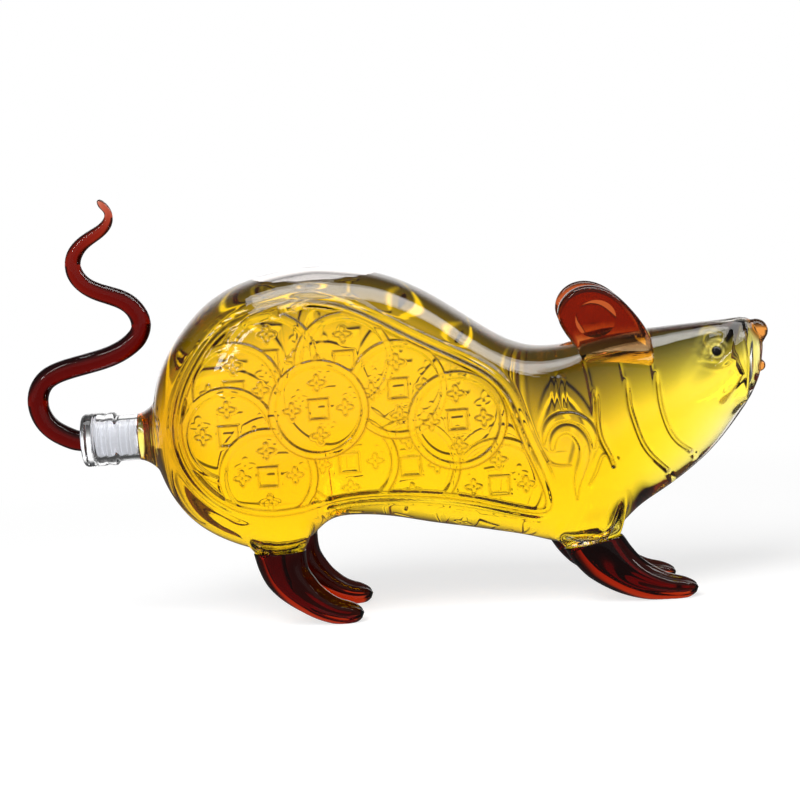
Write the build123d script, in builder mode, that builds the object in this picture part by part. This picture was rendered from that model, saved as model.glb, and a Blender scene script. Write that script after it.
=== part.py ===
from build123d import *
import math
import os

# Rat decanter of mould-blown glass, standing on four feet, its snout towards +X.
# Origin: on the floor, under the middle of the overall box. +Z is up, and the rat's left is +Y.

# Driving sizes of the body, in millimetres
body_length = 267.0       # rump to tip of the snout
body_width = 80.0         # across the haunches
back_height = 150.5       # floor to the top of the back
wall = 3.0                # blown glass, all round the liquor
cut_over = 5.0            # how far a cutting tool runs past what it cuts

# Neck behind the rump, which lies along X, and the bead that the mould leaves round its mouth
neck_height = 82.8        # floor to the axis of the neck
neck_radius = 9.8
neck_length = 25.8        # mouth to the hind end of the body
bore_radius = 7.8
bead_height = 1.6         # how far the bead stands out
bead_length = 10.6
flare_length = 8.5        # where the neck opens out into the rump
flare_height = 7.2
flare_end_slope = (0.5, 1.0)

# Stopper: a glass plug with a domed shoulder, in a soft sealing sleeve with ribs
fit = 0.05                # running clearance round the plug and round the ribs
seat_gap = 0.3            # shoulder to the mouth of the neck
shoulder_radius = 11.4
shoulder_rim = 2.4
shoulder_dome = 2.8
shoulder_end_slope = (-0.4, -1.0)
plug_radius = 5.0
plug_tip = 1.2            # how far the plug stands out of the sleeve's inner end
sleeve_length = 18.2
rib_height = 0.6
rib_length = 1.6
rib_count = 4
rounding_share = 0.95     # of the height of a rib or of the bead, rounded at its corners

# Tail: a solid rod drawn out to a hooked tip
tail_radius = 4.5
tail_height = 102.6       # neck axis to the tip
tail_depth = 48.2         # how far the bends run along X
tail_rings = 30
tail_end_slope = (-1.0, 0.9)
tail_pull_shares = (0.6, 0.3)

# Legs and feet
hind_reach = 33.5         # from the middle of the leg to the tip of the toes
hind_depth = 22.6         # front to back
hind_width = 17.0
front_reach = 43.0
front_depth = 25.4
front_width = 16.5
front_join_tilt = 10.0    # degrees that the front joints fall towards the tail
hind_stagger = 3.5        # the left hind foot stands this far forward of the right one
front_stagger = -4.0      # and the left front foot this far back
leg_rings = 13

# Ears
ear_length = 32.0
ear_height = 39.8
ear_thickness = 6.0
ear_rim = 2.6             # rounding of its edges
ear_lean = 20.0           # degrees outwards
ear_inset = 9.0           # how far the middle of its root is let into the head
cup_depth = 1.4
cup_radius = 8.5
left_ear_forward = 3.0    # the left ear is set on this much nearer to the snout

# Eyes, nose and lip
eye_radius = 2.4
eye_inset = 1.0           # how far the bead's middle lies inside the glass
nose_radius = 5.2
lip_radius = 2.6
lip_span = 5.0

# Places on the body, as shares of its length, its half width and the back's height
hind_leg_share = (0.193, 0.575, 0.213)
front_leg_share = (0.690, 0.512, 0.176)
ear_share = (0.684, 0.645)
cup_share = (0.240, 0.660)
eye_share = (0.906, 0.680)
nose_share = (0.978, 0.726)
lip_share = (0.9795, 0.628)

# Cross-sections of the body from the rump to the snout, each one:
# share of the length, then of the back height (underside, top), then of the width,
# and how square the outline is above and below its middle
body_shares = [
    (0.002, 0.494, 0.614, 0.226, 2.0, 2.0),
    (0.011, 0.426, 0.697, 0.484, 2.0, 2.0),
    (0.029, 0.360, 0.771, 0.667, 2.1, 2.2),
    (0.058, 0.297, 0.843, 0.806, 2.2, 2.4),
    (0.101, 0.246, 0.917, 0.914, 2.3, 2.7),
    (0.150, 0.211, 0.963, 0.978, 2.4, 3.0),
    (0.206, 0.197, 0.989, 1.000, 2.5, 3.1),
    (0.242, 0.234, 0.997, 0.990, 2.5, 2.9),
    (0.274, 0.277, 1.000, 0.980, 2.5, 2.7),
    (0.319, 0.286, 0.991, 0.957, 2.5, 2.6),
    (0.375, 0.274, 0.971, 0.935, 2.5, 2.6),
    (0.432, 0.251, 0.929, 0.914, 2.5, 2.6),
    (0.488, 0.231, 0.866, 0.892, 2.5, 2.6),
    (0.544, 0.210, 0.794, 0.871, 2.4, 2.6),
    (0.601, 0.186, 0.740, 0.860, 2.3, 2.7),
    (0.649, 0.163, 0.729, 0.839, 2.2, 2.8),
    (0.692, 0.163, 0.737, 0.796, 2.2, 2.6),
    (0.734, 0.194, 0.749, 0.720, 2.2, 2.3),
    (0.770, 0.246, 0.754, 0.645, 2.15, 2.1),
    (0.810, 0.289, 0.757, 0.570, 2.1, 2.0),
    (0.850, 0.334, 0.760, 0.484, 2.1, 2.0),
    (0.890, 0.389, 0.763, 0.398, 2.1, 2.0),
    (0.931, 0.466, 0.766, 0.312, 2.05, 2.0),
    (0.963, 0.540, 0.766, 0.226, 2.0, 2.0),
    (0.979, 0.590, 0.752, 0.165, 2.0, 2.0),
    (0.988, 0.650, 0.722, 0.075, 2.0, 2.0),
]
cavity_stations = 24      # the chamber ends short of the snout's tip
ring_points = 16          # points round each cross-section

# Middle line of a leg, from inside the body down to the toes, each point: share of the reach,
# share of the distance from the middle of the body, share of the joint's height
hind_line_shares = [
    (-0.060, 0.72, 1.950),
    (-0.020, 0.92, 1.420),
    (0.000, 1.00, 1.000),
    (0.060, 1.02, 0.720),
    (0.240, 1.02, 0.460),
    (0.490, 1.01, 0.245),
    (0.735, 1.00, 0.135),
    (1.000, 1.00, 0.115),
]
front_line_shares = [
    (-0.160, 0.62, 2.200),
    (-0.075, 0.86, 1.520),
    (0.000, 1.00, 1.000),
    (0.155, 1.02, 0.660),
    (0.370, 1.02, 0.385),
    (0.600, 1.01, 0.225),
    (0.800, 1.00, 0.160),
    (1.000, 1.00, 0.145),
]
# Swell of a leg along that line: share of its length, shares of its depth and of its width
hind_swell_shares = [
    (0.00, 1.25, 1.16),
    (0.36, 1.00, 1.00),
    (0.52, 0.86, 0.92),
    (0.70, 0.62, 0.82),
    (0.84, 0.50, 0.82),
    (1.00, 0.42, 0.74),
]
front_swell_shares = [
    (0.00, 1.10, 1.20),
    (0.36, 0.98, 1.00),
    (0.50, 0.90, 0.94),
    (0.68, 0.66, 0.85),
    (0.84, 0.46, 0.80),
    (1.00, 0.34, 0.70),
]
toe_share = 0.10          # the last of the leg's length, where the toes round off
blunt_share = 0.14        # of a rod's thickness, what is left of it at its very end

# Middle line of the tail, each point: share of its depth from the hind bend, share of its height
tail_line_shares = [
    (0.360, 0.000),
    (0.195, 0.030),
    (0.040, 0.100),
    (0.000, 0.180),
    (0.070, 0.258),
    (0.265, 0.302),
    (0.575, 0.333),
    (0.815, 0.375),
    (0.970, 0.458),
    (0.900, 0.549),
    (0.670, 0.607),
    (0.470, 0.665),
    (0.410, 0.738),
    (0.515, 0.823),
    (0.672, 0.868),
    (0.762, 0.920),
    (0.732, 0.967),
    (0.672, 0.994),
]
tail_swell_shares = [
    (0.00, 1.00, 1.00),
    (0.45, 0.98, 0.98),
    (0.62, 0.90, 0.90),
    (0.78, 0.78, 0.78),
    (0.90, 0.60, 0.60),
    (1.00, 0.26, 0.26),
]
tail_tip_share = 0.015

# Outline of an ear, each point: share of its length from the hind end of its root, and of its height
ear_line_shares = [
    (0.080, 0.000),
    (0.040, 0.200),
    (-0.070, 0.380),
    (-0.220, 0.600),
    (-0.247, 0.740),
    (-0.125, 0.925),
    (0.110, 1.005),
    (0.420, 0.942),
    (0.630, 0.792),
    (0.800, 0.614),
    (0.940, 0.412),
    (1.000, 0.180),
    (0.980, 0.000),
]

os.makedirs("parts", exist_ok=True)

# Along X, the tail's hind bend and the nose are as far from the origin as each other
behind_rump = neck_length + seat_gap + shoulder_rim + shoulder_dome
behind_rump += tail_line_shares[0][0] * tail_depth + tail_radius
rump_x = (behind_rump - nose_share[0] * body_length - nose_radius) / 2
mouth_x = rump_x - neck_length
sleeve_end_x = mouth_x + sleeve_length
rim_x = mouth_x - seat_gap
tail_root_x = rim_x - shoulder_rim - shoulder_dome
neck_axis = Axis((0, 0, neck_height), (1, 0, 0))
sleeve_radius = bore_radius - fit - rib_height


def ring(station, inset):
    """The x of one cross-section and the points of its outline in y and z, drawn in by inset."""
    along, low, high, across, square_above, square_below = station
    middle = (high + low) / 2 * back_height
    tall = (high - low) / 2 * back_height - inset
    wide = across * body_width / 2 - inset
    shrink = 1 - 2 * inset / body_length
    x = rump_x + body_length * (0.5 + (along - 0.5) * shrink)
    points = []
    for n in range(ring_points):
        angle = 2 * math.pi * n / ring_points - math.pi / 2
        c, s = math.cos(angle), math.sin(angle)
        power = 2 / (square_above if s > 0 else square_below)
        y = wide * math.copysign(abs(c) ** power, c)
        z = middle + tall * math.copysign(abs(s) ** power, s)
        points.append((y, z))
    return x, points


def body_form(stations, inset):
    """The whole body as one solid form, drawn in by inset."""
    with BuildPart() as form:
        for station in stations:
            x, points = ring(station, inset)
            with BuildSketch(Plane.YZ.offset(x)):
                with BuildLine():
                    Spline(*points, periodic=True)
                make_face()
        loft()
    return form.part


def between(table, along):
    """The shares that a table gives at this share of a length, between its rows."""
    for (start, *before), (end, *after) in zip(table, table[1:]):
        if along <= end:
            part_way = (along - start) / (end - start)
            return [one + (two - one) * part_way for one, two in zip(before, after)]
    return table[-1][1:]


def side_of_body(along, up):
    """How far the body's side is from its middle plane, at these shares of its length and height."""
    x = rump_x + along * body_length
    z = up * back_height
    across = Edge.make_line((x, 0, z), (x, body_width, z)) & body_outside
    return across.length


def rod_form(path, rings, depth, width, table, round_share):
    """A solid round a path: oval rings of this depth and width times the table's shares."""
    with BuildPart() as form:
        for n in range(rings + 1):
            along = n / rings
            deep, across = between(table, along)
            past_round = max(0.0, (along - 1 + round_share) / round_share)
            closing = max(blunt_share, math.sqrt(1 - past_round**2))
            with BuildSketch(Plane(path @ along, (0, 1, 0), path % along)):
                Ellipse(across * closing * width / 2, deep * closing * depth / 2)
        loft()
    return form.part


def leg_form(place, stagger, y_sign, line_shares, swell_shares, reach, depth, width):
    """A leg from inside the body to the tip of its toes, not yet cut at the joint or the floor."""
    leg_x = rump_x + place[0] * body_length + stagger
    leg_y = y_sign * place[1] * body_width / 2
    joint_height = place[2] * back_height
    with BuildLine() as line:
        Spline(*[(leg_x + a * reach, b * leg_y, c * joint_height) for a, b, c in line_shares])
    return rod_form(line.edge(), leg_rings, depth, width, swell_shares, toe_share)


def above_joint(place, tilt):
    """The space above the joint of a pair of legs, whose plane falls back by tilt."""
    middle = (rump_x + place[0] * body_length, 0, place[2] * back_height)
    with BuildPart() as space:
        with BuildSketch(Plane(middle).rotated((0, -tilt, 0))):
            Rectangle(body_length, 2 * body_width)
        extrude(amount=back_height)
    return space.part


body_outside = body_form(body_shares, 0)
chamber = body_form(body_shares[:cavity_stations], wall)
above_hind_joint = above_joint(hind_leg_share, 0)
above_front_joint = above_joint(front_leg_share, front_join_tilt)
under_floor = Pos(0, 0, -back_height / 2) * Box(2 * body_length, 2 * body_width, back_height)

legs = {}
for side, y_sign, turn in [("right", -1, 0), ("left", 1, 1)]:
    hind_leg = leg_form(
        hind_leg_share,
        turn * hind_stagger,
        y_sign,
        hind_line_shares,
        hind_swell_shares,
        hind_reach,
        hind_depth,
        hind_width,
    )
    front_leg = leg_form(
        front_leg_share,
        turn * front_stagger,
        y_sign,
        front_line_shares,
        front_swell_shares,
        front_reach,
        front_depth,
        front_width,
    )
    legs[f"{side}_hind_foot"] = (hind_leg, above_hind_joint)
    legs[f"{side}_front_foot"] = (front_leg, above_front_joint)

# Body: the blown form with its neck, nose, lip and leg stumps, hollowed by the chamber and the bore
with BuildPart() as body_shell:
    add(body_outside)
    with BuildSketch(Plane.XZ):
        with BuildLine():
            neck_root_x = rump_x + wall
            tube_top = neck_height + neck_radius
            flare_x = rump_x - flare_length
            flare_top = tube_top + flare_height
            Polyline(
                (flare_x, tube_top),
                (mouth_x, tube_top),
                (mouth_x, neck_height),
                (neck_root_x, neck_height),
                (neck_root_x, flare_top),
            )
            Spline((flare_x, tube_top), (neck_root_x, flare_top), tangents=[(1, 0), flare_end_slope])
        make_face()
    revolve(axis=neck_axis)
    with BuildSketch(Plane.XZ):
        with Locations((mouth_x + bead_length / 2, neck_height + neck_radius)):
            RectangleRounded(bead_length, 2 * bead_height, rounding_share * bead_height)
    revolve(axis=neck_axis)
    with Locations((rump_x + nose_share[0] * body_length, 0, nose_share[1] * back_height)):
        Sphere(nose_radius)
    lip_x = rump_x + lip_share[0] * body_length
    lip_height = lip_share[1] * back_height
    with BuildSketch(Plane(origin=(lip_x, 0, lip_height), x_dir=(0, 1, 0), z_dir=(1, 0, 0))):
        SlotCenterToCenter(lip_span, 2 * lip_radius)
        split(bisect_by=Plane.XZ, keep=Keep.TOP)
    revolve(axis=Axis((lip_x, 0, lip_height), (0, 1, 0)))
    for leg, above in legs.values():
        add(leg & above)
    add(chamber, mode=Mode.SUBTRACT)
    with BuildSketch(Plane.XZ):
        with BuildLine():
            bore_top = neck_height + bore_radius
            bore_root_x = neck_root_x + wall
            bore_root_top = bore_top + flare_height
            Polyline(
                (flare_x, bore_top),
                (mouth_x - cut_over, bore_top),
                (mouth_x - cut_over, neck_height),
                (bore_root_x, neck_height),
                (bore_root_x, bore_root_top),
            )
            Spline((flare_x, bore_top), (bore_root_x, bore_root_top), tangents=[(1, 0), flare_end_slope])
        make_face()
    revolve(axis=neck_axis, mode=Mode.SUBTRACT)
body_shell.part.label = "body_shell"
export_step(body_shell.part, "parts/body_shell.step")

# Feet: the amber part of each leg, below its joint with the body and flat on the floor
for name, (leg, above) in legs.items():
    with BuildPart() as foot:
        add(leg)
        add(above, mode=Mode.SUBTRACT)
        add(body_outside, mode=Mode.SUBTRACT)
        add(under_floor, mode=Mode.SUBTRACT)
    foot.part.label = name
    export_step(foot.part, f"parts/{name}.step")

# Ears: thick petals that lean out from the head, cupped on their outer face
ear_side = side_of_body(*ear_share) - ear_inset
ear_root = (rump_x + ear_share[0] * body_length, -ear_side, ear_share[1] * back_height)
lean = math.radians(ear_lean)
ear_plane = Plane(ear_root, (0, -math.sin(lean), math.cos(lean)), (0, -math.cos(lean), -math.sin(lean)))
with BuildPart() as ear_form:
    with BuildSketch(ear_plane):
        with BuildLine():
            rim = [(b * ear_height, -a * ear_length) for a, b in ear_line_shares]
            Spline(*rim)
            Line(rim[-1], rim[0])
        make_face()
    extrude(amount=ear_thickness / 2, both=True)
    fillet(ear_form.edges().sort_by(SortBy.LENGTH)[-2:], ear_rim)
    cup_sphere = (cup_radius**2 + cup_depth**2) / (2 * cup_depth)
    cup_rise = ear_thickness / 2 - cup_depth + cup_sphere
    cup_middle = (cup_share[1] * ear_height, -cup_share[0] * ear_length, cup_rise)
    with Locations(ear_plane.from_local_coords(cup_middle)):
        Sphere(cup_sphere, mode=Mode.SUBTRACT)
left_ear_form = Pos(left_ear_forward, 0, 0) * ear_form.part.mirror(Plane.XZ)
for name, form in [("right_ear", ear_form.part), ("left_ear", left_ear_form)]:
    with BuildPart() as ear:
        add(form)
        add(body_outside, mode=Mode.SUBTRACT)
    ear.part.label = name
    export_step(ear.part, f"parts/{name}.step")

# Eyes: beads let into the sides of the head
eye_side = side_of_body(*eye_share) - eye_inset
eye_middle = (rump_x + eye_share[0] * body_length, -eye_side, eye_share[1] * back_height)
with BuildPart() as right_eye:
    with Locations(eye_middle):
        Sphere(eye_radius)
    add(body_outside, mode=Mode.SUBTRACT)

for name, eye in [("right_eye", right_eye.part), ("left_eye", right_eye.part.mirror(Plane.XZ))]:
    eye.label = name
    export_step(eye, f"parts/{name}.step")

# Plug of the stopper: its domed shoulder rests at the mouth, and its stub fills the sleeve
with BuildPart() as stopper_plug:
    with BuildSketch(Plane.XZ):
        with BuildLine():
            plug_end_x = sleeve_end_x + plug_tip
            Polyline(
                (tail_root_x, neck_height + tail_radius),
                (tail_root_x, neck_height),
                (plug_end_x, neck_height),
                (plug_end_x, neck_height + plug_radius),
                (rim_x, neck_height + plug_radius),
                (rim_x, neck_height + shoulder_radius),
                (rim_x - shoulder_rim, neck_height + shoulder_radius),
            )
            Spline(
                (rim_x - shoulder_rim, neck_height + shoulder_radius),
                (tail_root_x, neck_height + tail_radius),
                tangents=[(-1, 0), shoulder_end_slope],
            )
        make_face()
    revolve(axis=neck_axis)
stopper_plug.part.label = "stopper_plug"
export_step(stopper_plug.part, "parts/stopper_plug.step")

# Sealing sleeve: a soft tube round the plug, with ribs that close the bore
with BuildPart() as stopper_sleeve:
    with BuildSketch(Plane.XZ):
        tube_wall = sleeve_radius - plug_radius - fit
        with Locations((mouth_x + sleeve_length / 2, neck_height + sleeve_radius - tube_wall / 2)):
            Rectangle(sleeve_length, tube_wall)
        rib_pitch = (sleeve_length - rib_length) / rib_count
        with Locations((mouth_x + sleeve_length / 2, neck_height + sleeve_radius)):
            with GridLocations(rib_pitch, 0, rib_count, 1):
                RectangleRounded(rib_length, 2 * rib_height, rounding_share * rib_height)
    revolve(axis=neck_axis)
stopper_sleeve.part.label = "stopper_sleeve"
export_step(stopper_sleeve.part, "parts/stopper_sleeve.step")

# Tail: circles along its middle line, joined smoothly
with BuildLine(Plane.XZ) as tail_line:
    hind_bend_x = tail_root_x - tail_line_shares[0][0] * tail_depth
    Spline(
        *[(hind_bend_x + a * tail_depth, neck_height + b * tail_height) for a, b in tail_line_shares],
        tangents=[(-1, 0), tail_end_slope],
        tangent_scalars=tail_pull_shares,
    )
tail = rod_form(
    tail_line.edge(), tail_rings, 2 * tail_radius, 2 * tail_radius, tail_swell_shares, tail_tip_share
)
tail.label = "tail"
export_step(tail, "parts/tail.step")
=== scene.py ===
import math

import bmesh
import bpy
import numpy as np
from mathutils import Matrix, Vector


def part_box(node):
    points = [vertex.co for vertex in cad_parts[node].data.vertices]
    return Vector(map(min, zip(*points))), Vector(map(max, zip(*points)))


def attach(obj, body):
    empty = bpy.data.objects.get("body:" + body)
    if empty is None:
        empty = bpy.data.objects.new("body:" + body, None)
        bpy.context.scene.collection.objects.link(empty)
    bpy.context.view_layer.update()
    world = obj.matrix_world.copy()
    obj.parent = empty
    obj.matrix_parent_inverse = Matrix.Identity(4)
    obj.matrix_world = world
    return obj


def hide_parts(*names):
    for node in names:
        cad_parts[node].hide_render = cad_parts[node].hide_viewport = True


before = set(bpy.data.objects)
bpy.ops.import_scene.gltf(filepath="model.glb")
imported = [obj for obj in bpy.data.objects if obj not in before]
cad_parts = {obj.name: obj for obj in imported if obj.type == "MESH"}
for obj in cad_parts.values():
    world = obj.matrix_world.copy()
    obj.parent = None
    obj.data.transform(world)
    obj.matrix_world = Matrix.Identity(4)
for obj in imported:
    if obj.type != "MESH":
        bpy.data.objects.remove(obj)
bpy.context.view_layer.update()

# A glass rat decanter full of yellow liquor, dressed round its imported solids.
# Lengths are in millimetres in the tables and sums, and MM turns them into metres.
MM = 0.001

# Sizes that the solids give
shell_low, shell_high = [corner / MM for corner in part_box("body_shell")]
sleeve_low, sleeve_high = [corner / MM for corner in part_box("stopper_sleeve")]
mouth_x = shell_low.x
back_height = shell_high.z
neck_height = (sleeve_low.z + sleeve_high.z) / 2

# Sizes that the solids are built with
half_width = 40.0
wall = 3.0
neck_length = 25.8
neck_radius = 9.8
bore_radius = 7.8
rim_round = 0.9
rim_gap = 0.4             # from the rim's last ring to the neck's first
bead_height = 1.6
bead_length = 10.6
bead_end_shares = (0.86, 1.04)  # of its length, where the bead falls off to the neck
waist_depth = 0.45        # the neck's waist behind the bead, and its place and width as shares of it
waist_share = 0.55
waist_width_share = 0.10
flare_length = 8.5
flare_height = 7.2
flare_power = 2.2
flare_blend = 3.0
settle_outside = 12.0     # how far into the body its middle line leaves the neck's
settle_inside = 14.0
nose_radius = 5.2
nose_share = (0.978, 0.726)
lip_share = (0.9795, 0.628)
rump_x = mouth_x + neck_length
body_length = (shell_high.x - nose_radius - rump_x) / nose_share[0]

# How closely the glass is meshed, in degrees between points round a ring
side_step = 0.52
back_step = 1.7
belly_step = 0.76
side_reach = 52.0         # degrees above and below the middle that count as side

# and in millimetres between rings
fine_step = 0.50          # where the relief is
fine_from, fine_to = -94, 124
plain_step = 1.15
inner_step = 1.5
neck_step = 0.45
neck_overlap = 0.2        # how far the neck's rings run on into the body
ring_gap = 0.1            # least gap between the last ring of the neck and the first of the body

# Liquor
liquor_level = 143.7
liquor_overlap = 0.20     # how far it reaches into the glass, so that no air lies between
liquor_gap = 1.4          # between the sleeve and the liquor in the bore

# Cross-sections of the body from the rump to the snout, each one:
# share of the length, then of the back height (underside, top), then of the width,
# and how square the outline is above and below its middle
body_shares = [
    (0.002, 0.494, 0.614, 0.226, 2.0, 2.0),
    (0.011, 0.426, 0.697, 0.484, 2.0, 2.0),
    (0.029, 0.360, 0.771, 0.667, 2.1, 2.2),
    (0.058, 0.297, 0.843, 0.806, 2.2, 2.4),
    (0.101, 0.246, 0.917, 0.914, 2.3, 2.7),
    (0.150, 0.211, 0.963, 0.978, 2.4, 3.0),
    (0.206, 0.197, 0.989, 1.000, 2.5, 3.1),
    (0.242, 0.234, 0.997, 0.990, 2.5, 2.9),
    (0.274, 0.277, 1.000, 0.980, 2.5, 2.7),
    (0.319, 0.286, 0.991, 0.957, 2.5, 2.6),
    (0.375, 0.274, 0.971, 0.935, 2.5, 2.6),
    (0.432, 0.251, 0.929, 0.914, 2.5, 2.6),
    (0.488, 0.231, 0.866, 0.892, 2.5, 2.6),
    (0.544, 0.210, 0.794, 0.871, 2.4, 2.6),
    (0.601, 0.186, 0.740, 0.860, 2.3, 2.7),
    (0.649, 0.163, 0.729, 0.839, 2.2, 2.8),
    (0.692, 0.163, 0.737, 0.796, 2.2, 2.6),
    (0.734, 0.194, 0.749, 0.720, 2.2, 2.3),
    (0.770, 0.246, 0.754, 0.645, 2.15, 2.1),
    (0.810, 0.289, 0.757, 0.570, 2.1, 2.0),
    (0.850, 0.334, 0.760, 0.484, 2.1, 2.0),
    (0.890, 0.389, 0.763, 0.398, 2.1, 2.0),
    (0.931, 0.466, 0.766, 0.312, 2.05, 2.0),
    (0.963, 0.540, 0.766, 0.226, 2.0, 2.0),
    (0.979, 0.590, 0.752, 0.165, 2.0, 2.0),
    (0.988, 0.650, 0.722, 0.075, 2.0, 2.0),
]
chamber_stations = 24
muzzle_x = 148.0          # from here on the snout is drawn from a point inside it
snout_depth = 3.0         # how far behind the muzzle that point lies
snout_reach = 9.2
snout_squareness = 6
snout_ahead = (1.0, 0, 0.10)
snout_wall_share = 0.45   # the wall at the tip, so that the liquor shows up to the nose
snout_outside = (34, 0.14)  # rings, and the share of the way over which they leave the body's gap
snout_inside = (18, 0.50)
ball_blend = 0.9
lip_balls = [(-2.4, 2.55), (0.0, 2.65), (2.4, 2.55)]  # places along Y and radii
nose_centre = np.array([rump_x + nose_share[0] * body_length, 0, nose_share[1] * back_height])
lip_centre = np.array([rump_x + lip_share[0] * body_length, 0, lip_share[1] * back_height])
snout_balls = [(nose_centre, nose_radius)]
snout_balls += [(lip_centre + (0, y, 0), radius) for y, radius in lip_balls]

# Relief on both sides of the body, as places along X and Z
coin_radius = 20.5
coin_inner_radius = 17.7
coin_hole = 4.10          # half the side of the square hole
coin_face = -0.75         # the coins' faces and the ground between them lie this much below their rims
panel_floor = -1.30
coin_edge = 0.35          # half the width of the step down to a coin's face
rim_edge = 0.32           # and of the step at its rim
# width of the painted dark lines of shade
line_width = 0.42
rim_line_width = 0.45
under_limits = (-0.45, -0.15)  # heights over which a linked coin shows what lies under it
under_share = 0.6
blossom_radius = 4.6
blossom_place = 11.0      # from the middle of the coin
coins = [                 # from the lowest to the one on top
    (39.0, 54.3),
    (2.5, 65.3),
    (-23.0, 68.8),
    (-53.1, 113.5),
    (-21.8, 111.2),
    (-0.5, 98.1),
    (23.2, 83.2),
    (-68.0, 101.7),
    (-71.8, 83.5),
    (-56.6, 65.5),
    (-33.8, 92.1),
]
linked_coins = (4, 5, 6)  # these pass through each other, so both rims show where they cross
panel_line = [
    (-92.1, 82.5), (-90.2, 98.0), (-82.9, 113.1), (-71.1, 126.3), (-57.9, 132.8), (-38.6, 135.9),
    (-23.1, 133.2), (2.3, 119.8), (23.8, 107.9), (42.2, 93.8), (49.1, 75.5), (56.4, 56.0),
    (57.3, 43.0), (49.4, 43.5), (28.2, 49.4), (-2.8, 54.0), (-28.8, 53.4), (-51.2, 50.4),
    (-72.9, 54.7), (-84.1, 63.9),
]
panel_ridges = [          # round the panel: rise, place outside its line, width
    (0.55, 0.1, 0.85),
    (-0.55, 2.2, 0.8),
    (0.40, 4.2, 1.0),
]
painted_panel_shades = [          # painted dark lines of shade round the panel: depth, place outside its line, width
    (0.85, -0.9, 0.45),
    (0.65, 1.6, 0.45),
]
scrolls = [               # strokes of the scroll on the shoulder: half widths, then places
    ([0.9, 1.5, 1.9, 2.1, 2.2, 2.2, 2.1, 1.8, 1.0, 0.2],
     [(61.7, 68.6), (62.6, 72.6), (64.6, 75.2), (69.2, 76.0), (72.9, 73.2),
      (75.0, 68.2), (74.3, 62.6), (72.3, 57.0), (71.0, 51.6), (70.9, 46.2)]),
    ([0.3, 1.2, 1.8, 1.9, 2.0, 2.1, 1.9, 0.8],
     [(58.2, 70.5), (59.0, 74.6), (61.6, 79.0), (65.8, 81.0), (70.7, 80.8),
      (75.5, 78.2), (78.4, 73.6), (79.0, 67.8)]),
    ([1.1, 1.3, 1.4], [(68.0, 85.0), (67.6, 90.0), (67.9, 96.5)]),
    ([0.3, 0.5, 0.4], [(63.4, 84.5), (63.8, 91.0), (64.2, 97.0)]),
    ([0.3, 0.6, 0.6, 0.3], [(87.8, 59.2), (83.2, 64.0), (80.3, 59.0), (76.2, 52.0)]),
    ([0.2, 0.4, 0.4, 0.2], [(57.5, 67.5), (59.5, 63.5), (63.0, 61.4), (69.0, 61.0)]),
]
fold_depth = 1.35
fold_lines = [
    [(109.0, 98.0), (108.9, 89.0), (109.5, 81.9), (110.8, 76.2), (112.9, 70.5), (116.7, 65.2),
     (122.0, 61.0)],
    [(95.4, 96.0), (95.7, 89.0), (96.1, 82.7), (97.6, 76.3), (99.3, 70.6), (101.8, 64.8),
     (104.9, 60.4), (111.5, 53.6)],
    [(82.0, 93.0), (82.0, 83.6), (82.0, 75.0), (83.2, 69.5), (85.8, 63.7), (87.4, 59.2)],
]
mouth_depth = 0.5
mouth_line = [(144.6, 91.0), (143.2, 88.6), (140.8, 85.4), (138.6, 83.2), (136.3, 81.2)]
lid_lines = [             # depth, then places from the middle of the eye
    (0.7, [(-4.2, -1.5), (-3.4, 1.9), (0.0, 3.9), (2.9, 2.6), (4.4, 0.2)]),
    (0.9, [(-7.8, -2.8), (-5.0, 2.5), (0.0, 5.6), (3.6, 5.2), (6.0, 3.2)]),
    (0.6, [(-7.4, -5.2), (-3.5, -6.8), (0.5, -7.2), (4.5, -5.8), (7.2, -2.6)]),
    (0.5, [(-3.8, -2.0), (-1.5, -3.6), (1.5, -3.5), (3.6, -1.5)]),
]
socket_shade_radius = 3.3
painted_glint_radius = 2.75    # a painted glint of light caught round the bead, and on the brow above it
brow_glint_radius = 4.8
eye_low, eye_high = [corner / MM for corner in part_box("right_eye")]
eye_place = ((eye_low.x + eye_high.x) / 2, (eye_low.z + eye_high.z) / 2)

# Painted shade and warmth of the glass body, as shares of its dark and its warm colour
painted_contour_shade = 0.50
painted_contour_warmth = 0.46
contour_sides = (0.30, 0.92)  # shares of facing sideways, over which the painted contour shade fades
body_contour = 0.22       # of its strength at the rump
painted_air_shade = 0.26          # painted grey shade above the liquor, over these heights round its level
air_edge = (-0.3, 1.5)
warm_reach = (0.6, 3.0)   # over which the warm tint of the nose and the lip fades out
rump_contour = (-100, -74)  # x over which the painted contour shade fades from the rump's to the body's
rump_fade = (-102, -76)   # x over which the painted shade on the end of the rump fades out on its sides


# Numbers

def spline_through(knots, values, at):
    """A natural cubic spline through the values at these knots, read at other places."""
    gaps = np.diff(knots)
    count = len(knots)
    system = np.eye(count)
    right = np.zeros_like(values)
    slopes = np.diff(values, axis=0) / gaps[:, None]
    for n in range(1, count - 1):
        system[n, n - 1 : n + 2] = gaps[n - 1], 2 * (gaps[n - 1] + gaps[n]), gaps[n]
        right[n] = 6 * (slopes[n] - slopes[n - 1])
    bend = np.linalg.solve(system, right)
    k = np.clip(np.searchsorted(knots, at) - 1, 0, count - 2)
    gap = gaps[k][:, None]
    before = (at - knots[k])[:, None]
    after = (knots[k + 1] - at)[:, None]
    curve = (bend[k] * after**3 + bend[k + 1] * before**3) / (6 * gap)
    return curve + (values[k] / gap - bend[k] * gap / 6) * after + (
        values[k + 1] / gap - bend[k + 1] * gap / 6
    ) * before


def chord_knots(points):
    """Distances along the points, from the first."""
    return np.concatenate([[0], np.cumsum(np.linalg.norm(np.diff(points, axis=0), axis=1))])


def smooth_line(points, step, closed=False):
    """Points a step apart on a smooth curve through these."""
    points = np.array(points, float)
    wrap = 3 if closed else 0
    if closed:
        points = np.concatenate([points[-wrap:], points, points[: wrap + 1]])
    knots = chord_knots(points)
    start, end = knots[wrap], knots[len(points) - 1 - wrap]
    at = np.linspace(start, end, max(2, int((end - start) / step)), endpoint=not closed)
    return spline_through(knots, points, at)


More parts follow.
